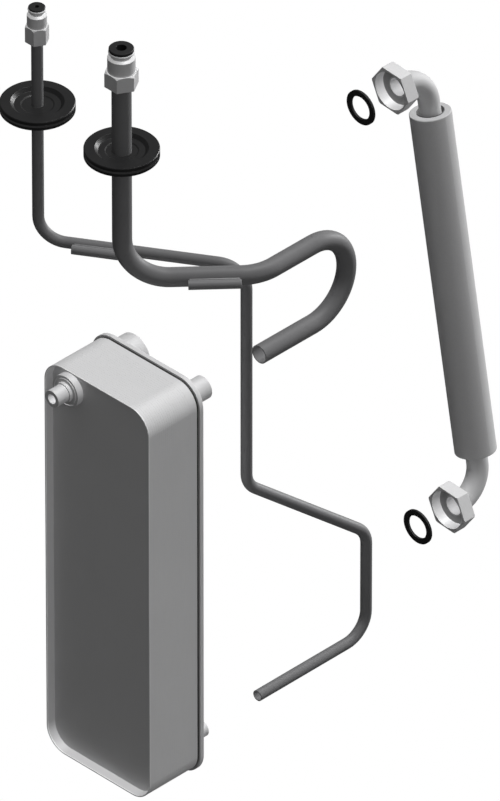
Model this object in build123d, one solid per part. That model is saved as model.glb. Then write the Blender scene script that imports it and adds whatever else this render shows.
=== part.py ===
from build123d import *
import os
from math import asin, cos, degrees, pi, radians, tan

# Brazed plate heat exchanger with the lines that join it, drawn apart along Y.
# Millimetres. Origin: centre of the outer face of the rear cover plate.
# +Y points away from the plate pack towards the lines, +Z is up.

# ---- driving dimensions: plate pack ----
body_width = 116.2
body_height = 375.0
body_depth = 58.7              # front rim to the outer face of the rear cover plate
corner_radius = 20.0
plate_count = 20
sheet = 0.4
skirt_depth = 8.1              # front rim to the floor of the first pressed plate
skirt_gap = 0.03               # clearance between one skirt and the next
seam = 0.06                    # hairline between the skirt edges on the outside
front_cover_thickness = 1.0
rear_cover_thickness = 4.2
rear_cover_margin = 2.0        # how far the rear cover stands past the pack
rear_groove = 1.1              # open line between the pack and the rear cover
rear_cover_edge = 0.8          # rounding of the rear cover's outer edge
port_inset_x = 22.1            # port centre to the side of the pack
port_inset_z = 22.3            # port centre to the top or bottom of the pack
plate_port_radius = 11.0
collar_width = 2.8             # pressed ring round a sealed port
rib_width = 4.0
rib_pitch = 20.0
rib_slope = 30.0               # degrees above level
rib_side_margin = 8.0
braze_gap = 0.03               # between pieces that are brazed together

# ---- driving dimensions: ports ----
gas_tube_od = 15.88
gas_tube_wall = 1.0
liquid_tube_od = 9.52
liquid_tube_wall = 0.8
socket_wall = 2.0
gas_socket_length = 23.3
liquid_socket_length = 22.3
socket_insertion = 12.0
tube_fit = 0.05                # radial clearance of a tube in its socket
thread_od = 33.25              # G1 outside thread
water_port_length = 20.5
water_port_bore = 25.0
thread_relief_width = 2.5
thread_relief_depth = 1.2
thread_chamfer = 1.2
front_boss_od = 28.0
front_boss_height = 6.25
front_boss_groove = 0.6        # depth of the ring groove in the boss
front_boss_groove_width = 1.0
front_port_od = 15.0
front_port_bore = 8.5
front_port_edge = 0.4
front_port_shoulder = 1.0      # the stub is this much wider inside the boss
front_port_collar = 3.0        # plain length of the shoulder in front of the boss
front_port_reach = 13.7        # how far the front port stands past the front rim

# ---- driving dimensions: refrigerant lines ----
gas_drawn_out = 62.2           # tube end to socket mouth, drawn apart
gas_lower_leg = 97.0
gas_bend = 38.0
gas_straight_in_bend = 0.2     # straight stretch in the middle of the U bend
gas_upper_leg_short = 0.6      # upper leg ends this much short of the lower one's start
gas_cross_back = 79.7          # how far the cross run comes forward
gas_cross_past = 0.7           # how far the riser stands past the water ports
liquid_drawn_out = 61.3
liquid_lower_leg = 122.3
liquid_lower_rise = 98.4
liquid_slope_rise = 91.5
liquid_slope_in = 22.1
liquid_slope_forward = 112.5
liquid_cross_above = 69.9      # cross run above the upper ports
liquid_cross_past = 92.5       # riser beyond the water ports
liquid_cross_forward = 88.9
liquid_bend = 22.0
union_above_port = 260.4       # underside of the gas union's hexagon above the upper ports
liquid_union_drop = 1.7
union_insertion = 8.0
union_wall = 3.17
union_bevel = 1.4
union_neck_step = 2.6
union_lip_step = 1.1
union_shoulder = 0.9           # round shoulder over the flats, as a part of their size
gas_union_sizes = dict(hex_step=0.9, hex_height=12.3, thread_height=12.3, neck=2.7, lip=2.3)
liquid_union_sizes = dict(hex_step=0.55, hex_height=13.3, thread_height=9.7, neck=2.4, lip=2.5)
gas_cap_height = 2.3
gas_cap_hole = 4.3             # radius of the blind hole
liquid_cap_height = 1.2
liquid_cap_hole = 1.8
cap_lead_in = 0.8
cap_edge = 0.5
cap_floor = 1.5
pocket_od = 7.6
pocket_wall = 0.6
pocket_length = 41.7
pocket_floor = 1.5
pocket_edge = 0.8
gas_pocket_start = 14.9
liquid_pocket_start = 97.0

# ---- driving dimensions: grommets ----
grommet_od = 60.0
grommet_thickness = 7.8
grommet_above_port = 197.0     # middle of the grommets above the upper ports
grommet_groove_width = 1.8
grommet_groove_depth = 2.5
grommet_dish_radius = 21.3
grommet_dish_depth = 2.7
grommet_step_radius = 13.5
grommet_step_depth = 0.6
grommet_fit = 0.06
grommet_edge = 0.6
grommet_dish_slope = 2.8       # run of the dish's wall
grommet_step_slope = 1.0

# ---- driving dimensions: water pipe ----
pipe_od = 18.0
pipe_wall = 1.0
pipe_bend = 26.0
pipe_drawn_out = 350.0         # lower nut face to water port end, drawn apart
pipe_corner = 39.5             # nut face to the corner of the pipe's axis
upper_end_out = 70.8           # upper nut's axis beyond the water ports
upper_end_above = 41.0         # upper nut's axis above the upper ports
upper_end_back = 5.0
nut_length = 12.0
nut_back_wall = 2.0
nut_wall = 1.28                # nut wall at the middle of a flat
nut_fit = 0.1                  # radial clearance over the thread
nut_hole_clearance = 0.35
nut_turn = -5.0                # corner of the hexagon from +X towards +Z, degrees
nut_bevel = 0.7
nut_bevel_slope = 0.6          # rise of the bevel on its run
collar_thickness = 1.7
collar_gap = 0.1               # between the collar and the nut's back wall
collar_clearance = 1.1         # between the collar's edge and the nut's cavity
gasket_thickness = 2.0
gasket_od = 30.4
gasket_bore = 20.6
gasket_drawn_out = 32.7        # gasket centre in front of the nut's face
sleeve_od = 34.5
sleeve_bore = 23.0
sleeve_end_gap = 36.0          # sleeve end to the corner of the pipe's axis
sleeve_edge = 0.8

# ---- worked out from the driving dimensions ----
port_x = body_width / 2 - port_inset_x
port_z = body_height / 2 - port_inset_z
rim_y = -body_depth
pack_back_y = -rear_cover_thickness
pitch = (body_depth - rear_cover_thickness - skirt_depth - sheet) / plate_count
draft = degrees(asin((sheet + skirt_gap) / pitch))
skirt_wall = sheet / cos(radians(draft))
channel = pitch - sheet
PORTS = [(port_x, port_z), (port_x, -port_z), (-port_x, port_z), (-port_x, -port_z)]
REFRIGERANT_PORTS = PORTS[:2]
WATER_PORTS = PORTS[2:]


def facing_back(y):
    """Sketch plane at height y whose extrusions run towards +Y."""
    return Plane((0, y, 0), x_dir=(-1, 0, 0), z_dir=(0, 1, 0))


def rounded_block(width, height, radius, y0, depth, taper=0):
    outline = facing_back(y0) * RectangleRounded(width, height, radius)
    return extrude(outline, depth, taper=taper)


def bar_y(x, z, radius, y0, y1):
    """Round bar along Y."""
    bar = Cylinder(radius, y1 - y0, align=(Align.CENTER, Align.CENTER, Align.MIN))
    return Pos(x, y0, z) * Rot(-90, 0, 0) * bar


def ring_y(x, z, outer, inner, y0, y1):
    over = 1.0
    return bar_y(x, z, outer, y0, y1) - bar_y(x, z, inner, y0 - over, y1 + over)


def turned(points, x, y, z):
    """Turn a closed outline of (radius, height) points about the vertical axis at x, y."""
    outline = Plane.XZ * make_face(Polyline(*points, close=True))
    return Pos(x, y, z) * revolve(outline, Axis.Z)


def turned_y(points, x, y, z):
    """The same about an axis along Y; heights run towards +Y."""
    outline = Plane.XZ * make_face(Polyline(*points, close=True))
    return Pos(x, y, z) * Rot(-90, 0, 0) * revolve(outline, Axis.Z)


# ---- plate pack ----
def tray(tip_y, band, floor_y, floor_thickness):
    """Pressed tray: a flat band at its open edge, a tapered skirt and a flat floor."""
    depth = floor_y + floor_thickness - tip_y
    outer = rounded_block(body_width, body_height, corner_radius, tip_y, depth, draft)
    outer += rounded_block(body_width, body_height, corner_radius, tip_y, band)
    inner_width = body_width - 2 * skirt_wall
    inner_height = body_height - 2 * skirt_wall
    inner_radius = corner_radius - skirt_wall
    hollow = rounded_block(inner_width, inner_height, inner_radius, tip_y, floor_y - tip_y, draft)
    return outer - hollow


def chevrons(upward):
    """Outlines of the ribs that cross those of the next plate."""
    reach = body_width / 2 - skirt_depth * tan(radians(draft)) - rib_side_margin
    rise = reach * tan(radians(rib_slope))
    field = port_z - plate_port_radius - collar_width - rib_width
    count = int((2 * field - rise) // rib_pitch)
    first = -(count - 1) * rib_pitch / 2
    way = 1 if upward else -1
    for number in range(count):
        low = first + number * rib_pitch - way * rise / 2 - rib_width / 2
        arm = [(-reach, low), (0, low + way * rise), (reach, low)]
        back = [(x, z + rib_width) for x, z in reversed(arm)]
        yield make_face(Polyline(*arm, *back, close=True))


def channel_plate(seals_water, last=False):
    """Channel plate with its floor's front face at Y = 0."""
    band = pitch - seam
    if last:
        band = skirt_depth + sheet - rear_groove
    plate = tray(-skirt_depth, band, 0, sheet)
    relief = channel - braze_gap
    ribs = [extrude(Plane.XZ * rib, relief) for rib in chevrons(seals_water)]
    sealed = WATER_PORTS if seals_water else REFRIGERANT_PORTS
    rings = [bar_y(x, z, plate_port_radius + collar_width, -relief, 0) for x, z in sealed]
    plate = plate.fuse(*ribs, *rings)
    for x, z in PORTS:
        plate -= bar_y(x, z, plate_port_radius, -pitch, pitch)
    return plate


def channel_plates():
    kinds = [channel_plate(True), channel_plate(False)]
    plates = {}
    for number in range(1, plate_count + 1):
        floor_y = rim_y + skirt_depth + number * pitch
        plate = kinds[number % 2]
        if number == plate_count:
            plate = channel_plate(number % 2 == 0, last=True)
        plates[f"channel_plate_{number:02d}"] = plate.moved(Location((0, floor_y, 0)))
    return plates


def front_cover_plate():
    back_y = rim_y + skirt_depth + sheet
    floor_y = back_y - front_cover_thickness
    plate = tray(rim_y, pitch - seam, floor_y, front_cover_thickness)
    hole = front_port_od / 2 + front_port_shoulder + braze_gap
    return plate - bar_y(-port_x, port_z, hole, floor_y - 1, back_y + 1)


def rear_cover_plate():
    grow = 2 * rear_cover_margin
    radius = corner_radius + rear_cover_margin
    plate = rounded_block(body_width + grow, body_height + grow, radius, pack_back_y, rear_cover_thickness)
    plate = fillet(plate.faces().sort_by(Axis.Y)[-1].edges(), rear_cover_edge)
    for x, z in PORTS:
        plate -= bar_y(x, z, port_radius(x, z) + braze_gap, pack_back_y - 1, 1)
    return plate


# ---- ports ----
def tube_radius(z):
    return (gas_tube_od if z > 0 else liquid_tube_od) / 2


def port_radius(x, z):
    """Outside of a port where it passes through the rear cover."""
    if x < 0:
        return thread_od / 2
    return tube_radius(z) + tube_fit + socket_wall


def socket(z, length, tube_wall):
    """Stub with a stepped bore that the tube is brazed into."""
    seat = tube_radius(z) + tube_fit
    stub = bar_y(port_x, z, port_radius(port_x, z), pack_back_y, length)
    stub -= bar_y(port_x, z, tube_radius(z) - tube_wall, pack_back_y - 1, length + 1)
    return stub - bar_y(port_x, z, seat, length - socket_insertion, length + 1)


def water_port(z):
    outer = thread_od / 2
    relief = outer - thread_relief_depth
    bore = water_port_bore / 2
    outline = [
        (bore, pack_back_y),
        (outer, pack_back_y),
        (outer, thread_relief_width),
        (relief, thread_relief_width),
        (relief, 2 * thread_relief_width),
        (outer, 2 * thread_relief_width + thread_relief_depth),
        (outer, water_port_length - thread_chamfer),
        (outer - thread_chamfer, water_port_length),
        (bore, water_port_length),
    ]
    return turned_y(outline, -port_x, 0, z)


front_floor_y = rim_y + skirt_depth + sheet - front_cover_thickness
front_boss_y = front_floor_y - front_boss_height


def front_port_boss():
    outer = front_boss_od / 2
    inner = front_port_od / 2 + front_port_shoulder + braze_gap
    boss = ring_y(-port_x, port_z, outer, inner, front_boss_y, front_floor_y)
    middle = (outer + inner) / 2
    groove = ring_y(-port_x, port_z, middle + front_boss_groove_width, middle,
                    front_boss_y - 1, front_boss_y + front_boss_groove)
    return boss - groove


def front_port():
    end_y = rim_y - front_port_reach
    back_y = front_floor_y + front_cover_thickness
    stub = bar_y(-port_x, port_z, front_port_od / 2, end_y, back_y)
    stub = fillet(stub.faces().sort_by(Axis.Y)[0].edges(), front_port_edge)
    shoulder = front_port_od / 2 + front_port_shoulder
    stub += bar_y(-port_x, port_z, shoulder, front_boss_y - front_port_collar, back_y)
    return stub - bar_y(-port_x, port_z, front_port_bore / 2, end_y - 1, back_y + 1)


# ---- tubes ----
def bent_tube(points, bend, outer, inner):
    """Tube swept along straight runs joined by arcs."""
    path = FilletPolyline(*points, radius=bend)
    start = Plane(path @ 0, z_dir=path % 0)
    solid = sweep(start * Circle(outer), path=path)
    return solid - sweep(start * Circle(inner), path=path)


gas_end_y = gas_socket_length + gas_drawn_out
gas_cross_z = port_z + 2 * gas_bend + gas_straight_in_bend
gas_union_z = port_z + union_above_port
GAS_START = Vector(port_x, gas_end_y + gas_upper_leg_short, gas_cross_z)
GAS_RISER = Vector(-port_x - gas_cross_past, GAS_START.Y - gas_cross_back, gas_cross_z)

liquid_end_y = liquid_socket_length + liquid_drawn_out
liquid_back_y = liquid_end_y + liquid_lower_leg
liquid_cross_z = port_z + liquid_cross_above
liquid_union_z = gas_union_z - liquid_union_drop
LIQUID_START = Vector(port_x - liquid_slope_in, liquid_back_y - liquid_slope_forward, liquid_cross_z)
LIQUID_RISER = Vector(
    -port_x - liquid_cross_past, LIQUID_START.Y - liquid_cross_forward, liquid_cross_z
)


def gas_tube():
    back_y = gas_end_y + gas_lower_leg
    points = [
        (port_x, gas_end_y, port_z),
        (port_x, back_y, port_z),
        (port_x, back_y, gas_cross_z),
        GAS_START,
        GAS_RISER,
        (GAS_RISER.X, GAS_RISER.Y, gas_union_z + union_insertion),
    ]
    outer = gas_tube_od / 2
    return bent_tube(points, gas_bend, outer, outer - gas_tube_wall)


def liquid_tube():
    rise_z = -port_z + liquid_lower_rise
    points = [
        (port_x, liquid_end_y, -port_z),
        (port_x, liquid_back_y, -port_z),
        (port_x, liquid_back_y, rise_z),
        (LIQUID_START.X, LIQUID_START.Y, rise_z + liquid_slope_rise),
        LIQUID_START,
        LIQUID_RISER,
        (LIQUID_RISER.X, LIQUID_RISER.Y, liquid_union_z + union_insertion),
    ]
    outer = liquid_tube_od / 2
    return bent_tube(points, liquid_bend, outer, outer - liquid_tube_wall)


def sensor_pocket(start, end, first, tube_od):
    """Blind pocket brazed along the front side of a cross run."""
    along = (end - start).normalized()
    side = along.cross(Vector(0, 0, 1)) * -1
    if side.Y > 0:
        side = side * -1
    offset = (tube_od + pocket_od) / 2 + braze_gap
    base = start + along * first + side * offset
    plane = Plane(base, z_dir=along)
    pocket = extrude(plane * Circle(pocket_od / 2), pocket_length)
    pocket = fillet(pocket.faces().sort_by(Axis.X)[-1].edges(), pocket_edge)
    hole = extrude(plane.offset(pocket_floor) * Circle(pocket_od / 2 - pocket_wall), pocket_length)
    return pocket - hole


# ---- flare unions and their caps ----
def union_height(hex_height, thread_height, neck, lip, **flats):
    return hex_height + thread_height + 2 * union_bevel + neck + lip


gas_cap_seat_z = gas_union_z + union_height(**gas_union_sizes)
liquid_cap_seat_z = liquid_union_z + union_height(**liquid_union_sizes)


def union(riser, base_z, tube_od, tube_wall, hex_step, hex_height, thread_height, neck, lip):
    """Union body: hexagon, outside thread, neck and lip, with a stepped bore."""
    thread = tube_od / 2 + union_wall
    flat = thread + hex_step
    corner = flat / cos(pi / 6)
    full = hex_height + union_bevel
    blank = extrude(Plane.XY * RegularPolygon(corner, 6, rotation=0), full)
    bevel = Cone(corner, flat, union_bevel, align=(Align.CENTER, Align.CENTER, Align.MIN))
    shank = Cylinder(corner, hex_height, align=(Align.CENTER, Align.CENTER, Align.MIN))
    blank = blank & (shank + Pos(0, 0, hex_height) * bevel)
    top = full + thread_height
    end = union_height(hex_height, thread_height, neck, lip)
    neck_radius = thread - union_neck_step
    lip_radius = thread - union_lip_step
    neck_top = end - lip
    outline = [
        (0, 0),
        (flat * union_shoulder, 0),
        (flat * union_shoulder, full),
        (thread, full),
        (thread, top),
        (neck_radius, top + union_bevel),
        (neck_radius, neck_top),
        (lip_radius, neck_top),
        (lip_radius, end),
        (0, end),
    ]
    body = blank + turned(outline, 0, 0, 0)
    seat = tube_od / 2 + braze_gap
    centred = (Align.CENTER, Align.CENTER, Align.MIN)
    body -= Pos(0, 0, -1) * Cylinder(seat, union_insertion + 1, align=centred)
    body -= Cylinder(tube_od / 2 - tube_wall, end + 1, align=centred)
    return Pos(riser.X, riser.Y, base_z) * body


def union_cap(riser, seat_z, tube_od, tube_wall, flange_height, hole):
    """Black plug in the union's bore, with a blind hole in its flange."""
    shank = tube_od / 2 - tube_wall - tube_fit
    flange = tube_od / 2 + union_wall - union_lip_step
    depth = union_insertion
    outline = [
        (0, -depth),
        (shank - cap_lead_in, -depth),
        (shank, cap_lead_in - depth),
        (shank, 0),
        (flange, 0),
        (flange, flange_height - cap_edge),
        (flange - cap_edge, flange_height),
        (hole, flange_height),
        (hole, cap_floor - depth),
        (0, cap_floor - depth),
    ]
    return turned(outline, riser.X, riser.Y, seat_z)


def grommet(riser, tube_od):
    """Rubber disc with a panel groove round its edge and a stepped dish in its top."""
    rim = grommet_od / 2
    half = grommet_thickness / 2
    groove = grommet_groove_width / 2
    bore = tube_od / 2 + grommet_fit
    floor = half - grommet_dish_depth
    low = floor - grommet_step_depth
    outline = [
        (bore, -half),
        (rim - grommet_edge, -half),
        (rim, grommet_edge - half),
        (rim, -groove),
        (rim - grommet_groove_depth, -groove),
        (rim - grommet_groove_depth, groove),
        (rim, groove),
        (rim, half - grommet_edge),
        (rim - grommet_edge, half),
        (grommet_dish_radius, half),
        (grommet_dish_radius - grommet_dish_slope, floor),
        (grommet_step_radius, floor),
        (grommet_step_radius - grommet_step_slope, low),
        (bore, low),
    ]
    return turned(outline, riser.X, riser.Y, port_z + grommet_above_port)


# ---- water pipe ----
nut_face_y = water_port_length + pipe_drawn_out
collar_face = nut_length - nut_back_wall - collar_gap - collar_thickness
cavity_radius = thread_od / 2 + nut_fit
LOWER_NUT = Vector(-port_x, nut_face_y, -port_z)
UPPER_NUT = Vector(-port_x - upper_end_out, nut_face_y + upper_end_back, port_z + upper_end_above)
LOWER_CORNER = LOWER_NUT + Vector(0, pipe_corner, 0)
UPPER_CORNER = UPPER_NUT + Vector(0, pipe_corner, 0)


def water_pipe():
    points = [
        LOWER_NUT + Vector(0, collar_face, 0),
        LOWER_CORNER,
        UPPER_CORNER,
        UPPER_NUT + Vector(0, collar_face, 0),
    ]
    return bent_tube(points, pipe_bend, pipe_od / 2, pipe_od / 2 - pipe_wall)


def pipe_collar(nut):
    outer = cavity_radius - collar_clearance
    y0 = nut.Y + collar_face
    return ring_y(nut.X, nut.Z, outer, pipe_od / 2 + braze_gap, y0, y0 + collar_thickness)


def union_nut(nut):
    flat = cavity_radius + nut_wall
    corner = flat / cos(pi / 6)
    blank = extrude(Plane.XZ * RegularPolygon(corner, 6, rotation=nut_turn), -nut_length)
    rim = corner - nut_bevel
    outline = [
        (0, 0),
        (rim, 0),
        (corner, nut_bevel * nut_bevel_slope),
        (corner, nut_length - nut_bevel * nut_bevel_slope),
        (rim, nut_length),
        (0, nut_length),
    ]
    blank = blank & turned_y(outline, 0, 0, 0)
    blank -= bar_y(0, 0, cavity_radius, -1, nut_length - nut_back_wall)
    blank -= bar_y(0, 0, pipe_od / 2 + nut_hole_clearance, 0, nut_length + 1)
    return Pos(nut) * blank


def gasket(nut):
    y0 = nut.Y - gasket_drawn_out - gasket_thickness / 2
    return ring_y(nut.X, nut.Z, gasket_od / 2, gasket_bore / 2, y0, y0 + gasket_thickness)


def insulation_sleeve():
    along = (UPPER_CORNER - LOWER_CORNER).normalized()
    length = (UPPER_CORNER - LOWER_CORNER).length - 2 * sleeve_end_gap
    plane = Plane(LOWER_CORNER + along * sleeve_end_gap, z_dir=along)
    sleeve = extrude(plane * Circle(sleeve_od / 2), length)
    sleeve = fillet(sleeve.edges().filter_by(GeomType.CIRCLE), sleeve_edge)
    return sleeve - extrude(plane * Circle(sleeve_bore / 2), length)


nodes = {
    "front_cover_plate": front_cover_plate(),
    "rear_cover_plate": rear_cover_plate(),
    "gas_port": socket(port_z, gas_socket_length, gas_tube_wall),
    "liquid_port": socket(-port_z, liquid_socket_length, liquid_tube_wall),
    "upper_water_port": water_port(port_z),
    "lower_water_port": water_port(-port_z),
    "front_port_boss": front_port_boss(),
    "front_port": front_port(),
    "gas_tube": gas_tube(),
    "gas_sensor_pocket": sensor_pocket(GAS_START, GAS_RISER, gas_pocket_start, gas_tube_od),
    "gas_grommet": grommet(GAS_RISER, gas_tube_od),
    "liquid_tube": liquid_tube(),
    "liquid_sensor_pocket": sensor_pocket(
        LIQUID_START, LIQUID_RISER, liquid_pocket_start, liquid_tube_od
    ),
    "liquid_grommet": grommet(LIQUID_RISER, liquid_tube_od),
    "water_pipe": water_pipe(),
    "insulation_sleeve": insulation_sleeve(),
}
nodes.update(channel_plates())

nodes["gas_union"] = union(GAS_RISER, gas_union_z, gas_tube_od, gas_tube_wall, **gas_union_sizes)
nodes["liquid_union"] = union(
    LIQUID_RISER, liquid_union_z, liquid_tube_od, liquid_tube_wall, **liquid_union_sizes
)
nodes["gas_cap"] = union_cap(
    GAS_RISER, gas_cap_seat_z, gas_tube_od, gas_tube_wall, gas_cap_height, gas_cap_hole
)
nodes["liquid_cap"] = union_cap(
    LIQUID_RISER, liquid_cap_seat_z, liquid_tube_od, liquid_tube_wall, liquid_cap_height, liquid_cap_hole
)
for side, nut in (("upper", UPPER_NUT), ("lower", LOWER_NUT)):
    nodes[f"{side}_pipe_collar"] = pipe_collar(nut)
    nodes[f"{side}_union_nut"] = union_nut(nut)
    nodes[f"{side}_gasket"] = gasket(nut)

os.makedirs("parts", exist_ok=True)
for name, shape in nodes.items():
    export_step(shape, f"parts/{name}.step")
    print(name, round(shape.volume, 1))
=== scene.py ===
from math import cos, pi, radians, sin, sqrt

import bmesh
import bpy
import numpy as np
from bpy.props import FloatProperty, FloatVectorProperty, PointerProperty
from mathutils import Matrix, Vector


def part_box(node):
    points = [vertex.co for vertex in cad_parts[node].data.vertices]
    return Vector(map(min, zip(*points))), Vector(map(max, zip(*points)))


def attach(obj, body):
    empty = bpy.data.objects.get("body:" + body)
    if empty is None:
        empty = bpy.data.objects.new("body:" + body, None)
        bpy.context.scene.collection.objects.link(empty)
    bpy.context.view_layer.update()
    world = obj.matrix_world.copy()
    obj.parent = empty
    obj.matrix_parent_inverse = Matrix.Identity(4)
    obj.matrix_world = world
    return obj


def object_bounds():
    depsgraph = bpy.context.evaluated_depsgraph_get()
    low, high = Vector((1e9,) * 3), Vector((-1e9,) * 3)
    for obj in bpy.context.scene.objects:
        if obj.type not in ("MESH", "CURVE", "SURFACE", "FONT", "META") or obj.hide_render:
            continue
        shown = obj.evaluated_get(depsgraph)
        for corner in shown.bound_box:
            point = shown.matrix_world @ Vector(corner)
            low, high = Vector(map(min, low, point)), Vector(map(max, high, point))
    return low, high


bl_info = {
    "name": "Plate Heat Exchanger Looks",
    "version": (1, 0, 0),
    "blender": (4, 5, 0),
    "location": "View3D > Sidebar > Exchanger",
    "description": "Metals, rubber, foam and braze beads of a plate heat exchanger and its lines",
    "category": "Object",
}

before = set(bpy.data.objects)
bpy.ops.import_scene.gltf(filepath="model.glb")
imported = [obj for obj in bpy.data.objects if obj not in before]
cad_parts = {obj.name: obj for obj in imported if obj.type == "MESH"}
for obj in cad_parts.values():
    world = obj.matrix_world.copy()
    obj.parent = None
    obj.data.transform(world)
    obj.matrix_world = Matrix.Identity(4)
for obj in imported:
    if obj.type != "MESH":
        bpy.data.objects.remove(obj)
CAD_LOW, CAD_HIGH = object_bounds()
MM = 0.001
SMOOTH_UNDER = radians(32)      # edges that turn less than this are shaded as round

PORTS = ("gas_port", "liquid_port", "upper_water_port", "lower_water_port")

# Stretch of the brush lines along X, Y and Z
PACK_BRUSH = (900, 900, 60)
PIPE_BRUSH = (500, 500, 120)
RIM_BRUSH = (700, 700, 700)

# Roughness that satin metal has above bright metal
PACK_SATIN = 0.12
PIPE_SATIN = 0.15

# How light a finish is beside the colour it is taken from
RIM_HIGHLIGHT_TONE = 1.35         # rolled front rim, lighter than the sheet as a painted highlight
SEAM_TONE = 1.25        # pocket seams, beside the tubes
POCKET_TONE = 1.1       # sensor pockets, beside the tubes
GROOVE_SHADE_TONE = 0.12       # painted shade in the rear groove, beside the tubes
COLLAR_SHADE_TONE = 0.6       # pipe collars, darker than the pipe as painted shade inside the nuts
GASKET_TONE = 0.6       # gaskets, beside the grommets
LINER_SHADE_TONE = 0.25       # sleeve liner, darker than the foam as painted shade of the gap round the pipe


# ---- places read from the CAD nodes ----
def middle(node):
    low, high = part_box(node)
    return (low + high) / 2


def long_axis(node):
    """Centre and unit direction of a straight round node, read from its vertices."""
    points = np.array([v.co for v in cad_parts[node].data.vertices], float)
    centre = (points.max(0) + points.min(0)) / 2
    direction = np.linalg.svd(points - points.mean(0), full_matrices=False)[2][0]
    along = Vector(direction)
    if along.x + along.z < 0:
        along.negate()
    spans = (points - centre) @ np.array(along)
    return Vector(centre), along, (spans.max() - spans.min())


# ---- shader graphs ----
MIX_FACTOR, MIX_A, MIX_B, MIX_RESULT = 0, 6, 7, 2


class Wire:
    """A number socket that can be used in sums; every sum adds its Math node."""

    def __init__(self, graph, socket):
        self.graph = graph
        self.socket = socket

    def _maths(self, operation, first, second):
        return self.graph.node("ShaderNodeMath", {"operation": operation}, {0: first, 1: second})

    def __add__(self, other):
        return self._maths("ADD", self, other)

    def __radd__(self, other):
        return self._maths("ADD", other, self)

    def __sub__(self, other):
        return self._maths("SUBTRACT", self, other)

    def __rsub__(self, other):
        return self._maths("SUBTRACT", other, self)

    def __mul__(self, other):
        return self._maths("MULTIPLY", self, other)

    def __rmul__(self, other):
        return self._maths("MULTIPLY", other, self)

    def __pow__(self, other):
        return self._maths("POWER", self, other)


class Graph:
    """The nodes of one material or of the world."""

    def __init__(self, tree):
        self.tree = tree
        tree.nodes.clear()

    def node(self, kind, settings=None, sockets=None, output=0):
        made = self.tree.nodes.new(kind)
        for name, value in (settings or {}).items():
            if name == "stops":
                self._set_stops(made.color_ramp, value)
            else:
                setattr(made, name, value)
        for name, value in (sockets or {}).items():
            if isinstance(value, Wire):
                self.tree.links.new(value.socket, made.inputs[name])
            else:
                made.inputs[name].default_value = value
        return Wire(self, made.outputs[output]) if made.outputs else None

    @staticmethod
    def _set_stops(ramp, stops):
        while len(ramp.elements) < len(stops):
            ramp.elements.new(1)
        for element, (position, colour) in zip(ramp.elements, stops):
            element.position = position
            element.color = colour

    def place(self, scale=(1, 1, 1), centre=(0, 0, 0), turn=(0, 0, 0)):
        """Object coordinates moved to a centre, turned and scaled."""
        raw = self.node("ShaderNodeTexCoord", output="Object")
        moved = self.node("ShaderNodeVectorMath", {"operation": "SUBTRACT"}, {0: raw, 1: centre})
        sockets = {"Vector": moved, "Rotation": turn, "Scale": scale}
        return self.node("ShaderNodeMapping", None, sockets)

    def split(self, vector):
        made = self.node("ShaderNodeSeparateXYZ", None, {"Vector": vector}).socket.node
        return [Wire(self, made.outputs[part]) for part in "XYZ"]

    def noise(self, place, scale, detail=3.0, roughness=0.55):
        sockets = {"Vector": place, "Scale": scale, "Detail": detail, "Roughness": roughness}
        return self.node("ShaderNodeTexNoise", None, sockets, output="Fac")

    def blend(self, factor, first, second):
        settings = {"data_type": "RGBA"}
        sockets = {MIX_FACTOR: factor, MIX_A: first, MIX_B: second}
        return self.node("ShaderNodeMix", settings, sockets, output=MIX_RESULT)

    def bump(self, height, distance, strength=1.0, edge=0.0):
        """Normal of a height field, over edges rounded by the given radius."""
        sockets = {"Height": height, "Distance": distance, "Strength": strength}
        if edge:
            sockets["Normal"] = self.node(
                "ShaderNodeBevel", {"samples": 4}, {"Radius": edge}, output="Normal"
            )
        return self.node("ShaderNodeBump", None, sockets, output="Normal")

    def surface(self, colour, roughness, metallic, normal, gloss=0.5):
        sockets = {
            "Base Color": colour, "Roughness": roughness, "Metallic": metallic,
            "Normal": normal, "Specular IOR Level": gloss,
        }
        shader = self.node("ShaderNodeBsdfPrincipled", None, sockets)
        self.node("ShaderNodeOutputMaterial", None, {"Surface": shader})


def new_material(name):
    material = bpy.data.materials.new(name)
    material.use_nodes = True
    return material, Graph(material.node_tree)


def shade(colour, factor):
    return (colour[0] * factor, colour[1] * factor, colour[2] * factor, 1)


def brushed_sheet(name, colour, metallic, lay, lift=0.0):
    """Rolled stainless sheet: fine brush lines and faint clouds from the furnace."""
    material, graph = new_material(name)
    place = graph.place()
    lines = graph.noise(graph.place(scale=lay), scale=1.0, detail=4.0)
    clouds = graph.noise(place, scale=22.0)
    specks = graph.noise(place, scale=700.0, detail=2.0)
    tone = 0.45 * lines + 0.4 * clouds + 0.15 * specks
    paint = graph.blend(tone, shade(colour, 0.93), shade(colour, 1.07))
    roughness = lift + 0.40 + 0.14 * lines + 0.08 * clouds
    normal = graph.bump(lines, 0.02 * MM, strength=0.25)
    graph.surface(paint, roughness, metallic, normal, gloss=0.3)
    return material


def turned_metal(name, colour, metallic, centre, axis, edge, lift=0.0):
    """Lathe-turned metal: rings on the ends and round the sides, about one axis."""
    material, graph = new_material(name)
    turn = (0, 0, 0) if axis == "Z" else (radians(90), 0, 0)
    place = graph.place(centre=tuple(centre), turn=turn)
    x, y, z = graph.split(place)
    reach = (x * x + y * y) ** 0.5
    rings = graph.node("ShaderNodeCombineXYZ", None, {"X": reach, "Y": z, "Z": 0.0})
    lines = graph.noise(rings, scale=1600.0)
    clouds = graph.noise(graph.place(), scale=60.0)
    tone = 0.6 * lines + 0.4 * clouds
    paint = graph.blend(tone, shade(colour, 0.88), shade(colour, 1.12))
    roughness = lift + 0.38 + 0.16 * lines + 0.08 * clouds
    normal = graph.bump(lines, 0.03 * MM, strength=0.3, edge=edge)
    graph.surface(paint, roughness, metallic, normal, gloss=0.35)
    return material


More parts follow.
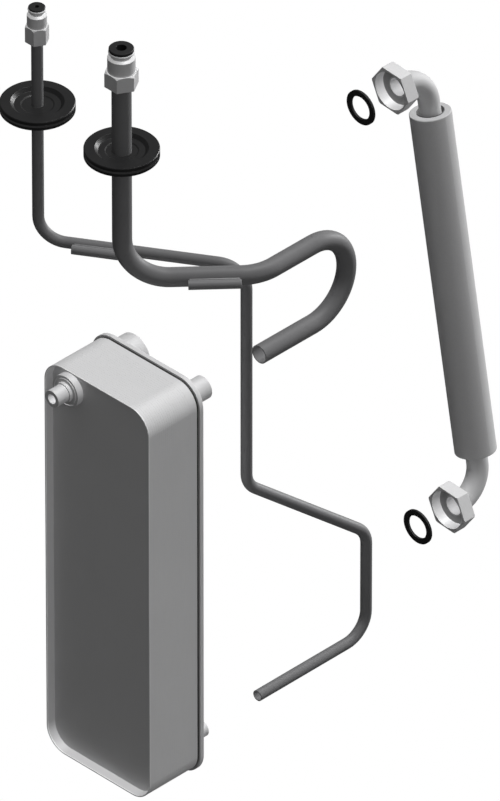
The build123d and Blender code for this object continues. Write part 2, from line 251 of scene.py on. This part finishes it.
def drawn_tube(name, colour, metallic):
    """Drawn tube with a dull grey skin: fine draw marks, handling clouds and small dark specks."""
    material, graph = new_material(name)
    place = graph.place()
    marks = graph.noise(place, scale=900.0, detail=4.0, roughness=0.7)
    clouds = graph.noise(place, scale=45.0, detail=4.0)
    specks = graph.noise(place, scale=260.0, detail=1.0)
    specks = graph.node(
        "ShaderNodeMapRange", None, {"Value": specks, "From Min": 0.62, "From Max": 0.74}
    )
    tone = 0.45 * marks + 0.55 * clouds
    paint = graph.blend(tone, shade(colour, 0.90), shade(colour, 1.10))
    paint = graph.blend(0.15 * specks, paint, shade(colour, 0.7))
    roughness = 0.44 + 0.08 * marks + 0.08 * clouds
    normal = graph.bump(marks, 0.02 * MM, strength=0.2, edge=0.2 * MM)
    graph.surface(paint, roughness, metallic, normal, gloss=0.15)
    return material


def moulded_rubber(name, colour, roughness, grain):
    """Moulded rubber: fine grain and a faint grey bloom."""
    material, graph = new_material(name)
    place = graph.place()
    skin = graph.noise(place, scale=grain, detail=4.0, roughness=0.65)
    bloom = graph.noise(place, scale=90.0, detail=4.0)
    paint = graph.blend(0.4 * skin + 0.6 * bloom, shade(colour, 0.7), shade(colour, 1.3))
    worn = (roughness - 0.05) + 0.1 * bloom
    normal = graph.bump(skin, 0.03 * MM, strength=0.2, edge=0.3 * MM)
    graph.surface(paint, worn, 0.0, normal, gloss=0.3)
    return material


def closed_cell_foam(name, colour):
    """Closed-cell insulating foam: a skin over small cells, with soft mottling."""
    material, graph = new_material(name)
    place = graph.place()
    cells = graph.node(
        "ShaderNodeTexVoronoi", {"feature": "SMOOTH_F1"},
        {"Vector": place, "Scale": 1100.0, "Smoothness": 0.6}, output="Distance",
    )
    skin = graph.noise(place, scale=420.0, detail=4.0, roughness=0.6)
    mottle = graph.noise(place, scale=35.0)
    tone = 0.3 * cells + 0.35 * skin + 0.35 * mottle
    paint = graph.blend(tone, shade(colour, 0.88), shade(colour, 1.12))
    roughness = 0.62 + 0.2 * skin
    normal = graph.bump(cells + skin, 0.08 * MM, strength=0.5)
    graph.surface(paint, roughness, 0.0, normal)
    return material


def braze_metal(name, colour):
    """Brazing alloy that has run and set: soft ripples and a duller skin."""
    material, graph = new_material(name)
    place = graph.place()
    ripples = graph.noise(place, scale=500.0, detail=2.0)
    clouds = graph.noise(place, scale=120.0)
    paint = graph.blend(0.5 * ripples + 0.5 * clouds, shade(colour, 0.8), shade(colour, 1.2))
    normal = graph.bump(ripples, 0.12 * MM, strength=0.5)
    graph.surface(paint, 0.42 + 0.2 * clouds, 0.2, normal)
    return material


def dress(material, *nodes):
    """Give CAD nodes a material; their shapes stay as they are."""
    for node in nodes:
        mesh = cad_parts[node].data
        mesh.materials.clear()
        mesh.materials.append(material)


# ---- mesh helpers ----
def stand(bm, centre, axis):
    """Turn a shape made about Z so that it stands along an axis, and put it in its place."""
    turn = Vector((0, 0, 1)).rotation_difference(Vector(axis)).to_matrix().to_4x4()
    bmesh.ops.transform(bm, matrix=Matrix.Translation(centre) @ turn, verts=bm.verts)


def round_edges(bm, edges, radius, segments):
    bmesh.ops.bevel(
        bm, geom=edges, offset=radius, segments=segments, profile=0.5, affect="EDGES",
        material=-1, clamp_overlap=True,
    )


def spun_ring(profile, centre, axis, steps=72):
    """Closed outline of (radius, height) points spun about an axis through centre."""
    bm = bmesh.new()
    corners = [bm.verts.new((radius, 0, height)) for radius, height in profile]
    edges = [bm.edges.new(pair) for pair in zip(corners, corners[1:] + corners[:1])]
    bmesh.ops.spin(
        bm, geom=corners + edges, cent=(0, 0, 0), axis=(0, 0, 1), dvec=(0, 0, 0),
        angle=2 * pi, steps=steps, use_merge=True, use_duplicate=False,
    )
    bmesh.ops.remove_doubles(bm, verts=bm.verts, dist=0.0001 * MM)
    bmesh.ops.recalc_face_normals(bm, faces=bm.faces)
    stand(bm, centre, axis)
    return bm


def fillet_profile(radius, leg, bite):
    """Concave fillet between a round side at this radius and a flat face at height 0."""
    arc = [radians(angle) for angle in range(0, 91, 15)]
    curve = [(radius + leg - leg * sin(a), leg - leg * cos(a)) for a in arc]
    return [(radius - bite, -bite), (radius + leg, -bite), *curve, (radius - bite, leg)]


def lip_profile(radius, bulge, drop):
    """Rounded bead that hangs from the edge of a lip with this radius and its face at height 0."""
    return [
        (radius - bulge, -drop), (radius + bulge * 0.6, -drop), (radius + bulge, -drop * 0.75),
        (radius + bulge * 0.5, -drop * 0.3), (radius - bulge, -bulge * 0.2),
    ]


def add_piece(name, bm, body, material):
    """Turn a bmesh into a finished piece that rides on a body."""
    mesh = bpy.data.meshes.new(name)
    bm.to_mesh(mesh)
    bm.free()
    mesh.shade_smooth()
    mesh.set_sharp_from_angle(angle=SMOOTH_UNDER)
    mesh.materials.append(material)
    piece = bpy.data.objects.new(name, mesh)
    bpy.context.scene.collection.objects.link(piece)
    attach(piece, body)
    return piece


# ---- settings ----
class FinishSettings(bpy.types.PropertyGroup):
    """Colours and gloss of the exchanger's materials."""

    sheet: FloatVectorProperty(
        name="Sheet steel", description="Rolled stainless of the plates and covers",
        default=(0.61, 0.61, 0.615), subtype="COLOR", min=0, max=1,
    )
    port: FloatVectorProperty(
        name="Port steel", description="Turned stainless of the ports",
        default=(0.58, 0.58, 0.585), subtype="COLOR", min=0, max=1,
    )
    line: FloatVectorProperty(
        name="Refrigerant tube", description="Dull skin of the bent tubes",
        default=(0.160, 0.160, 0.163), subtype="COLOR", min=0, max=1,
    )
    union: FloatVectorProperty(
        name="Union metal", description="Plated flare unions",
        default=(0.62, 0.62, 0.625), subtype="COLOR", min=0, max=1,
    )
    pipe: FloatVectorProperty(
        name="Water pipe", description="Bent stainless water pipe",
        default=(0.49, 0.49, 0.495), subtype="COLOR", min=0, max=1,
    )
    nut: FloatVectorProperty(
        name="Nut metal", description="Plated union nuts",
        default=(0.70, 0.70, 0.705), subtype="COLOR", min=0, max=1,
    )
    rubber: FloatVectorProperty(
        name="Rubber", description="Grommets and gaskets",
        default=(0.010, 0.010, 0.0104), subtype="COLOR", min=0, max=1,
    )
    plastic: FloatVectorProperty(
        name="Cap plastic", description="Dust caps in the unions",
        default=(0.010, 0.010, 0.0105), subtype="COLOR", min=0, max=1,
    )
    foam: FloatVectorProperty(
        name="Foam", description="Insulating sleeve on the water pipe",
        default=(0.47, 0.47, 0.475), subtype="COLOR", min=0, max=1,
    )
    sheen: FloatProperty(
        name="Metal share", description="How metallic the bright metals are",
        default=0.20, min=0, max=1, subtype="FACTOR",
    )
    dull_sheen: FloatProperty(
        name="Satin metal share", description="How metallic the satin sheet and pipe are",
        default=0.12, min=0, max=1, subtype="FACTOR",
    )
    tube_sheen: FloatProperty(
        name="Tube metal share", description="How metallic the dull tubes are",
        default=0.05, min=0, max=1, subtype="FACTOR",
    )


class BeadSettings(bpy.types.PropertyGroup):
    """Sizes of the braze beads, the rim bead, the groove line and the sleeve's liner."""

    port_leg: FloatProperty(
        name="Port fillet", description="Leg of the braze fillet round a port",
        default=0.9 * MM, unit="LENGTH",
    )
    front_leg: FloatProperty(
        name="Front fillet", description="Leg of the braze fillets round the front stub and boss",
        default=0.35 * MM, unit="LENGTH",
    )
    union_leg: FloatProperty(
        name="Union fillet", description="Leg of the braze fillet under a union",
        default=0.6 * MM, unit="LENGTH",
    )
    lip_bulge: FloatProperty(
        name="Lip bead", description="How far the rolled bead stands out of a union's lip",
        default=0.45 * MM, unit="LENGTH",
    )
    lip_drop: FloatProperty(
        name="Lip bead height", description="Height of the rolled bead on a union's lip",
        default=1.5 * MM, unit="LENGTH",
    )
    bite: FloatProperty(
        name="Bite", description="How far a bead reaches into what it joins",
        default=0.05 * MM, unit="LENGTH",
    )
    seam_radius: FloatProperty(
        name="Pocket seam", description="Radius of the bead between a pocket and its tube",
        default=0.9 * MM, unit="LENGTH",
    )
    rim_width: FloatProperty(
        name="Rim bead width", description="Rolled edge on the front rim",
        default=1.0 * MM, unit="LENGTH",
    )
    rim_corner: FloatProperty(
        name="Rim corner", description="Corner radius of the plate pack",
        default=20.0 * MM, unit="LENGTH",
    )
    groove_width: FloatProperty(
        name="Groove width", description="Dark line between the pack and the rear cover",
        default=1.4 * MM, unit="LENGTH",
    )
    # the dark braze of the next two settings is a band of painted shade in the groove, not real
    # braze
    groove_rise: FloatProperty(
        name="Groove rise", description="How far the dark braze stands out of the groove",
        default=0.06 * MM, unit="LENGTH",
    )
    groove_fill: FloatProperty(
        name="Groove filling", description="How far the dark braze reaches inwards",
        default=1.4 * MM, unit="LENGTH",
    )
    gas_tube: FloatProperty(
        name="Gas tube", description="Outside diameter of the gas tube",
        default=15.88 * MM, unit="LENGTH",
    )
    liquid_tube: FloatProperty(
        name="Liquid tube", description="Outside diameter of the liquid tube",
        default=9.52 * MM, unit="LENGTH",
    )
    sleeve_bore: FloatProperty(
        name="Sleeve bore", description="Bore of the insulating sleeve",
        default=23.0 * MM, unit="LENGTH",
    )
    liner_wall: FloatProperty(
        name="Liner wall", description="Wall of the skin inside the sleeve",
        default=0.5 * MM, unit="LENGTH",
    )
    liner_proud: FloatProperty(
        name="Liner end", description="How far the liner stands out of the sleeve",
        default=0.7 * MM, unit="LENGTH",
    )


class StageSettings(bpy.types.PropertyGroup):
    """Floor, lights and camera."""

    floor_gap: FloatProperty(
        name="Floor gap", description="Floor below the lowest piece",
        default=0.08, unit="LENGTH",
    )
    floor_size: FloatProperty(
        name="Floor size", description="Side of the square floor",
        default=120.0, unit="LENGTH",
    )
    azimuth: FloatProperty(
        name="Azimuth", description="Camera's turn from looking along +Y",
        default=radians(45), unit="ROTATION",
    )
    elevation: FloatProperty(
        name="Elevation", description="Camera's height above the horizon",
        default=radians(35.264), unit="ROTATION",
    )
    lens: FloatProperty(
        name="Lens", description="Very long lens, for an almost parallel view, in millimetres",
        default=1000.0,
    )
    view_height: FloatProperty(
        name="View height", description="Height of the view at the aim point",
        default=0.6321, unit="LENGTH",
    )
    aim: FloatVectorProperty(
        name="Aim", description="Point at the middle of the view",
        default=(-0.00067, 0.11189, 0.0895), subtype="XYZ",
    )


# ---- operators: materials of the CAD nodes ----
class EXCHANGER_OT_plates(bpy.types.Operator):
    """Brushed stainless on the plate pack and its covers"""

    bl_idname = "exchanger.plates"
    bl_label = "Plates and covers"

    def execute(self, context):
        finish = context.scene.exchanger_finish
        plates = [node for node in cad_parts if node.startswith("channel_plate")]
        sheet = brushed_sheet(
            "brushed_stainless_sheet", finish.sheet, finish.dull_sheen, PACK_BRUSH, lift=PACK_SATIN
        )
        dress(sheet, "front_cover_plate", "rear_cover_plate", *plates)
        return {"FINISHED"}


class EXCHANGER_OT_ports(bpy.types.Operator):
    """Turned stainless on the ports, each about its own axis"""

    bl_idname = "exchanger.ports"
    bl_label = "Ports"

    def execute(self, context):
        finish = context.scene.exchanger_finish
        for node in PORTS + ("front_port", "front_port_boss"):
            metal = turned_metal(
                f"turned_{node}", finish.port, finish.sheen, middle(node), "Y",
                edge=0.15 * MM, lift=PACK_SATIN,
            )
            dress(metal, node)
        return {"FINISHED"}


class EXCHANGER_OT_lines(bpy.types.Operator):
    """Dull drawn skin on the refrigerant tubes and their sensor pockets"""

    bl_idname = "exchanger.lines"
    bl_label = "Refrigerant lines"

    def execute(self, context):
        finish = context.scene.exchanger_finish
        tube = drawn_tube("drawn_tube_skin", finish.line, finish.tube_sheen)
        dress(tube, "gas_tube", "liquid_tube")
        pocket = drawn_tube("pocket_skin", shade(finish.line, POCKET_TONE), finish.tube_sheen)
        dress(pocket, "gas_sensor_pocket", "liquid_sensor_pocket")
        return {"FINISHED"}


class EXCHANGER_OT_unions(bpy.types.Operator):
    """Plated metal on the flare unions and matt plastic on their caps"""

    bl_idname = "exchanger.unions"
    bl_label = "Unions and caps"

    def execute(self, context):
        finish = context.scene.exchanger_finish
        for side in ("gas", "liquid"):
            node = f"{side}_union"
            metal = turned_metal(
                f"plated_{node}", finish.union, finish.sheen, middle(node), "Z", edge=0.4 * MM
            )
            dress(metal, node)
        plastic = moulded_rubber("cap_plastic", finish.plastic, roughness=0.5, grain=1200.0)
        dress(plastic, "gas_cap", "liquid_cap")
        return {"FINISHED"}


class EXCHANGER_OT_rubber(bpy.types.Operator):
    """Moulded rubber on the grommets and gaskets"""

    bl_idname = "exchanger.rubber"
    bl_label = "Grommets and gaskets"

    def execute(self, context):
        finish = context.scene.exchanger_finish
        grommet = moulded_rubber("grommet_rubber", finish.rubber, roughness=0.42, grain=900.0)
        dress(grommet, "gas_grommet", "liquid_grommet")
        gasket = moulded_rubber(
            "gasket_rubber", shade(finish.rubber, GASKET_TONE), roughness=0.62, grain=1400.0
        )
        dress(gasket, "upper_gasket", "lower_gasket")
        return {"FINISHED"}


class EXCHANGER_OT_water_pipe(bpy.types.Operator):
    """Satin stainless on the water pipe, its collars and its nuts, and foam on its sleeve"""

    bl_idname = "exchanger.water_pipe"
    bl_label = "Water pipe, nuts and sleeve"

    def execute(self, context):
        finish = context.scene.exchanger_finish
        skin = brushed_sheet(
            "satin_water_pipe", finish.pipe, finish.dull_sheen, PIPE_BRUSH, lift=PIPE_SATIN
        )
        dress(skin, "water_pipe")
        for side in ("upper", "lower"):
            nut = f"{side}_union_nut"
            metal = turned_metal(
                f"plated_{nut}", finish.nut, finish.sheen, middle(nut), "Y", edge=0.5 * MM
            )
            dress(metal, nut)
            collar = f"{side}_pipe_collar"
            # the collar is darker than the pipe: painted shade inside the nut
            metal = turned_metal(
                f"turned_{collar}", shade(finish.pipe, COLLAR_SHADE_TONE), finish.sheen, middle(collar),
                "Y", edge=0.2 * MM,
            )
            dress(metal, collar)
        dress(closed_cell_foam("closed_cell_foam", finish.foam), "insulation_sleeve")
        return {"FINISHED"}


# ---- operators: new pieces ----
class EXCHANGER_OT_port_fillets(bpy.types.Operator):
    """Braze fillets where the ports meet the covers"""

    bl_idname = "exchanger.port_fillets"
    bl_label = "Port braze fillets"

    def execute(self, context):
        beads = context.scene.exchanger_beads
        braze = braze_metal("port_braze", context.scene.exchanger_finish.port)
        cover_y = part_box("rear_cover_plate")[1].y
        boss_low, boss_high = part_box("front_port_boss")
        # piece: the round node, the face it stands on, the fillet's leg, the way it points
        fillets = {f"{node}_fillet": (node, cover_y, beads.port_leg, (0, 1, 0)) for node in PORTS}
        fillets["front_port_fillet"] = ("front_port", boss_low.y, beads.front_leg, (0, -1, 0))
        fillets["front_boss_fillet"] = ("front_port_boss", boss_high.y, beads.front_leg, (0, -1, 0))
        for name, (node, face_y, leg, direction) in fillets.items():
            low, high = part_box(node)
            centre = ((low.x + high.x) / 2, face_y, (low.z + high.z) / 2)
            profile = fillet_profile((high.x - low.x) / 2, leg, beads.bite)
            ring = spun_ring(profile, centre, direction)
            add_piece(name, ring, "exchanger", braze)
        return {"FINISHED"}


class EXCHANGER_OT_union_fillets(bpy.types.Operator):
    """Braze fillets where the tubes enter the unions, and the rolled bead on each lip"""

    bl_idname = "exchanger.union_fillets"
    bl_label = "Union braze fillets"

    def execute(self, context):
        beads = context.scene.exchanger_beads
        finish = context.scene.exchanger_finish
        braze = braze_metal("union_braze", finish.union)
        for side, diameter in (("gas", beads.gas_tube), ("liquid", beads.liquid_tube)):
            low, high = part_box(f"{side}_union")
            centre = ((low.x + high.x) / 2, (low.y + high.y) / 2, low.z)
            profile = fillet_profile(diameter / 2, beads.union_leg, beads.bite)
            ring = spun_ring(profile, centre, (0, 0, -1))
            add_piece(f"{side}_union_fillet", ring, f"{side}_line", braze)
            bead = turned_metal(
                f"rolled_{side}_lip", finish.nut, finish.dull_sheen, middle(f"{side}_union"), "Z",
                edge=0.1 * MM,
            )
            cap_low, cap_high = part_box(f"{side}_cap")
            profile = lip_profile((cap_high.x - cap_low.x) / 2, beads.lip_bulge, beads.lip_drop)
            ring = spun_ring(profile, (centre[0], centre[1], high.z), (0, 0, 1))
            add_piece(f"{side}_lip_bead", ring, f"{side}_line", bead)
        return {"FINISHED"}


def round_bead(start, end, radius):
    """Bead with rounded ends from one point to another."""
    bm = bmesh.new()
    along = end - start
    bmesh.ops.create_cone(
        bm, cap_ends=True, segments=20, radius1=radius, radius2=radius, depth=along.length
    )
    level = radius * 0.01
    ends = [edge for edge in bm.edges if abs(edge.verts[0].co.z - edge.verts[1].co.z) < level]
    round_edges(bm, ends, radius * 0.8, segments=4)
    stand(bm, (start + end) / 2, along)
    bmesh.ops.recalc_face_normals(bm, faces=bm.faces)
    return bm


class EXCHANGER_OT_pocket_seams(bpy.types.Operator):
    """Braze seams above and below the line where each sensor pocket lies on its tube"""

    bl_idname = "exchanger.pocket_seams"
    bl_label = "Pocket braze seams"

    def execute(self, context):
        beads = context.scene.exchanger_beads
        braze = braze_metal("pocket_braze", shade(context.scene.exchanger_finish.line, SEAM_TONE))
        for side, diameter in (("gas", beads.gas_tube), ("liquid", beads.liquid_tube)):
            node = f"{side}_sensor_pocket"
            centre, along, length = long_axis(node)
            low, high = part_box(node)
            pocket, tube, bead = (high.z - low.z) / 2, diameter / 2, beads.seam_radius
            to_tube = Vector((-along.y, along.x, 0)).normalized()
            if to_tube.y < 0:
                to_tube.negate()
            gap = pocket + tube
            to_bead, from_tube = pocket + bead * 0.6, tube + bead * 0.6
            across = (gap * gap + to_bead * to_bead - from_tube * from_tube) / (2 * gap)
            rise = sqrt(to_bead * to_bead - across * across)
            half = along * (length / 2 - bead)
            for word, way in (("upper", 1), ("lower", -1)):
                line = centre + to_tube * across + Vector((0, 0, way * rise))
                seam = round_bead(line - half, line + half, bead)
                add_piece(f"{side}_pocket_{word}_seam", seam, f"{side}_line", braze)
        return {"FINISHED"}


def pack_outline(beads):
    """Corners and corner radius of an outline that stands a little out of the plate pack."""
    low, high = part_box("front_cover_plate")
    rise = Vector((beads.groove_rise, 0, beads.groove_rise))
    return low - rise, high + rise, beads.rim_corner + beads.groove_rise


def rounded_frame(low, high, corner, width, front_y, depth):
    """Flat frame along a rounded rectangle in the XZ plane, given its depth towards +Y."""
    bm = bmesh.new()
    bmesh.ops.create_grid(bm, x_segments=1, y_segments=1, size=0.5)
    turn = Matrix.Rotation(radians(90), 4, "X")
    size = Matrix.Diagonal((high.x - low.x, 1, high.z - low.z, 1))
    bmesh.ops.transform(bm, matrix=size @ turn, verts=bm.verts)
    bmesh.ops.bevel(
        bm, geom=bm.verts[:], offset=corner, segments=16, profile=0.5, affect="VERTICES",
        material=-1,
    )
    middle_face = bm.faces[:][0]
    bmesh.ops.inset_region(
        bm, faces=[middle_face], thickness=width, use_boundary=True, use_even_offset=True
    )
    bmesh.ops.delete(bm, geom=[middle_face], context="FACES_ONLY")
    copied = bmesh.ops.extrude_face_region(bm, geom=bm.faces[:], use_keep_orig=True)
    raised = [item for item in copied["geom"] if isinstance(item, bmesh.types.BMVert)]
    bmesh.ops.translate(bm, vec=(0, depth, 0), verts=raised)
    place = Vector(((low.x + high.x) / 2, front_y, (low.z + high.z) / 2))
    bmesh.ops.translate(bm, vec=place, verts=bm.verts)
    bmesh.ops.recalc_face_normals(bm, faces=bm.faces)
    return bm


class EXCHANGER_OT_rim_bead(bpy.types.Operator):
    """Rolled edge along the front rim of the plate pack, lighter than the sheet as a painted
    highlight
    """

    bl_idname = "exchanger.rim_bead"
    bl_label = "Rim bead"

    def execute(self, context):
        beads = context.scene.exchanger_beads
        finish = context.scene.exchanger_finish
        low, high, corner = pack_outline(beads)
        width = beads.rim_width
        bm = rounded_frame(low, high, corner, width, low.y - beads.groove_rise, width)
        sharp = [edge for edge in bm.edges if edge.calc_face_angle(0) > radians(60)]
        round_edges(bm, sharp, width * 0.42, segments=3)
        bmesh.ops.recalc_face_normals(bm, faces=bm.faces)
        # sheet colour lightened into a painted highlight along the rim
        highlight_colour = shade(finish.sheet, RIM_HIGHLIGHT_TONE)
        rolled = brushed_sheet("rolled_edge_painted_highlight", highlight_colour, finish.sheen, RIM_BRUSH)
        add_piece("front_rim_bead", bm, "exchanger", rolled)
        return {"FINISHED"}


class EXCHANGER_OT_groove_line(bpy.types.Operator):
    """Dark band in the groove in front of the rear cover, painted shade of the gap"""

    bl_idname = "exchanger.groove_line"
    bl_label = "Groove line"

    def execute(self, context):
        beads = context.scene.exchanger_beads
        finish = context.scene.exchanger_finish
        low, high, corner = pack_outline(beads)
        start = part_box("rear_cover_plate")[0].y - beads.groove_width
        depth = beads.groove_width + beads.bite
        bm = rounded_frame(low, high, corner, beads.groove_fill, start, depth)
        # a very dark tone of the tube colour, painted shade in the groove's gap
        groove_shade = drawn_tube("painted_groove_shade", shade(finish.line, GROOVE_SHADE_TONE), metallic=0.0)
        add_piece("rear_groove_line", bm, "exchanger", groove_shade)
        return {"FINISHED"}


class EXCHANGER_OT_sleeve_liner(bpy.types.Operator):
    """Thin skin inside the insulating sleeve that shows at its ends, dark as painted shade of the
    gap round the pipe
    """

    bl_idname = "exchanger.sleeve_liner"
    bl_label = "Sleeve liner"

    def execute(self, context):
        beads = context.scene.exchanger_beads
        finish = context.scene.exchanger_finish
        centre, along, length = long_axis("insulation_sleeve")
        outer = beads.sleeve_bore / 2 - beads.bite
        inner = outer - beads.liner_wall
        half = length / 2 + beads.liner_proud
        lip = beads.liner_wall / 3
        profile = [
            (inner, -half + lip), (inner + lip, -half), (outer - lip, -half), (outer, -half + lip),
            (outer, half - lip), (outer - lip, half), (inner + lip, half), (inner, half - lip),
        ]
        ring = spun_ring(profile, centre, along, steps=96)
        # foam darkened to paint the shade of the gap between the pipe and the sleeve
        skin = closed_cell_foam("liner_painted_gap_shade", shade(finish.foam, LINER_SHADE_TONE))
        add_piece("sleeve_liner", ring, "insulation_sleeve", skin)
        return {"FINISHED"}


# ---- operator: stage ----
SUNS = {
    # name: direction towards the light, strength, angle in degrees
    "key": ((0.05, 0.30, 0.95), 2.5, 12),
    "back": ((0.12, 0.98, 0.15), 2.5, 14),
    "side": ((1.0, -0.10, 0.10), 0.40, 20),
}
SKY_BELOW, SKY_LEVEL, SKY_ABOVE = 0.03, 0.14, 0.20


class EXCHANGER_OT_stage(bpy.types.Operator):
    """White floor, soft studio light without cast shadows, and the camera"""

    bl_idname = "exchanger.stage"
    bl_label = "Stage"

    def floor(self, stage):
        mesh = bpy.data.meshes.new("floor")
        bm = bmesh.new()
        bmesh.ops.create_grid(bm, x_segments=1, y_segments=1, size=stage.floor_size / 2)
        height = CAD_LOW.z - stage.floor_gap
        bmesh.ops.translate(bm, vec=(0, 0, height), verts=bm.verts)
        bm.to_mesh(mesh)
        bm.free()
        floor = bpy.data.objects.new("floor", mesh)
        material, graph = new_material("white_floor")
        glow = graph.node("ShaderNodeEmission", None, {"Color": (1, 1, 1, 1), "Strength": 1.0})
        graph.node("ShaderNodeOutputMaterial", None, {"Surface": glow})
        mesh.materials.append(material)
        floor.visible_diffuse = False
        floor.visible_glossy = False
        bpy.context.scene.collection.objects.link(floor)

    def lights(self):
        for name, (towards, strength, angle) in SUNS.items():
            sun = bpy.data.lights.new(f"{name}_light", "SUN")
            sun.energy = strength
            sun.angle = radians(angle)
            sun.use_shadow = False
            lamp = bpy.data.objects.new(f"{name}_light", sun)
            lamp.rotation_mode = "QUATERNION"
            lamp.rotation_quaternion = Vector(towards).to_track_quat("Z", "Y")
            bpy.context.scene.collection.objects.link(lamp)

    def sky(self, scene):
        world = bpy.data.worlds.new("studio")
        world.use_nodes = True
        scene.world = world
        graph = Graph(world.node_tree)
        direction = graph.node("ShaderNodeTexCoord", output="Generated")
        height = graph.split(direction)[2] * 0.5 + 0.5
        greys = {0.0: SKY_BELOW, 0.5: SKY_LEVEL, 1.0: SKY_ABOVE}
        stops = [(position, (grey, grey, grey, 1)) for position, grey in greys.items()]
        light = graph.node("ShaderNodeValToRGB", {"stops": stops}, {"Fac": height})
        seen = graph.node("ShaderNodeLightPath", output="Is Camera Ray")
        colour = graph.blend(seen, light, (1, 1, 1, 1))
        sky = graph.node("ShaderNodeBackground", None, {"Color": colour, "Strength": 1.0})
        graph.node("ShaderNodeOutputWorld", None, {"Surface": sky})

    def camera(self, scene, stage):
        data = bpy.data.cameras.new("camera")
        data.lens = stage.lens
        distance = stage.view_height * data.lens / data.sensor_width
        data.clip_end = 4 * distance
        azimuth, level = stage.azimuth, cos(stage.elevation)
        back = Vector((sin(azimuth) * level, -cos(azimuth) * level, sin(stage.elevation)))
        camera = bpy.data.objects.new("camera", data)
        camera.location = Vector(stage.aim) + back * distance
        camera.rotation_mode = "QUATERNION"
        camera.rotation_quaternion = back.to_track_quat("Z", "Y")
        scene.collection.objects.link(camera)
        scene.camera = camera

    def execute(self, context):
        stage = context.scene.exchanger_stage
        context.scene.view_settings.view_transform = "Standard"
        self.floor(stage)
        self.lights()
        self.sky(context.scene)
        self.camera(context.scene, stage)
        return {"FINISHED"}


class EXCHANGER_PT_looks(bpy.types.Panel):
    """Everything that builds the exchanger's looks"""

    bl_idname = "EXCHANGER_PT_looks"
    bl_label = "Plate Heat Exchanger"
    bl_space_type = "VIEW_3D"
    bl_region_type = "UI"
    bl_category = "Exchanger"

    def draw(self, context):
        for operator in OPERATORS:
            self.layout.operator(operator.bl_idname)
        for group in SETTINGS:
            box = self.layout.box()
            settings = getattr(context.scene, group)
            for name in settings.__annotations__:
                box.prop(settings, name)


SETTINGS = {
    "exchanger_finish": FinishSettings,
    "exchanger_beads": BeadSettings,
    "exchanger_stage": StageSettings,
}
OPERATORS = (
    EXCHANGER_OT_stage,
    EXCHANGER_OT_plates,
    EXCHANGER_OT_ports,
    EXCHANGER_OT_lines,
    EXCHANGER_OT_unions,
    EXCHANGER_OT_rubber,
    EXCHANGER_OT_water_pipe,
    EXCHANGER_OT_port_fillets,
    EXCHANGER_OT_union_fillets,
    EXCHANGER_OT_pocket_seams,
    EXCHANGER_OT_rim_bead,
    EXCHANGER_OT_groove_line,
    EXCHANGER_OT_sleeve_liner,
)


def register():
    for name, group in SETTINGS.items():
        bpy.utils.register_class(group)
        setattr(bpy.types.Scene, name, PointerProperty(type=group))
    for part in OPERATORS + (EXCHANGER_PT_looks,):
        bpy.utils.register_class(part)


def unregister():
    for part in reversed(OPERATORS + (EXCHANGER_PT_looks,)):
        bpy.utils.unregister_class(part)
    for name, group in SETTINGS.items():
        delattr(bpy.types.Scene, name)
        bpy.utils.unregister_class(group)


def main():
    register()
    for operator in OPERATORS:
        group, name = operator.bl_idname.split(".")
        getattr(getattr(bpy.ops, group), name)()
    bpy.context.view_layer.update()


if __name__ == "__main__":
    main()
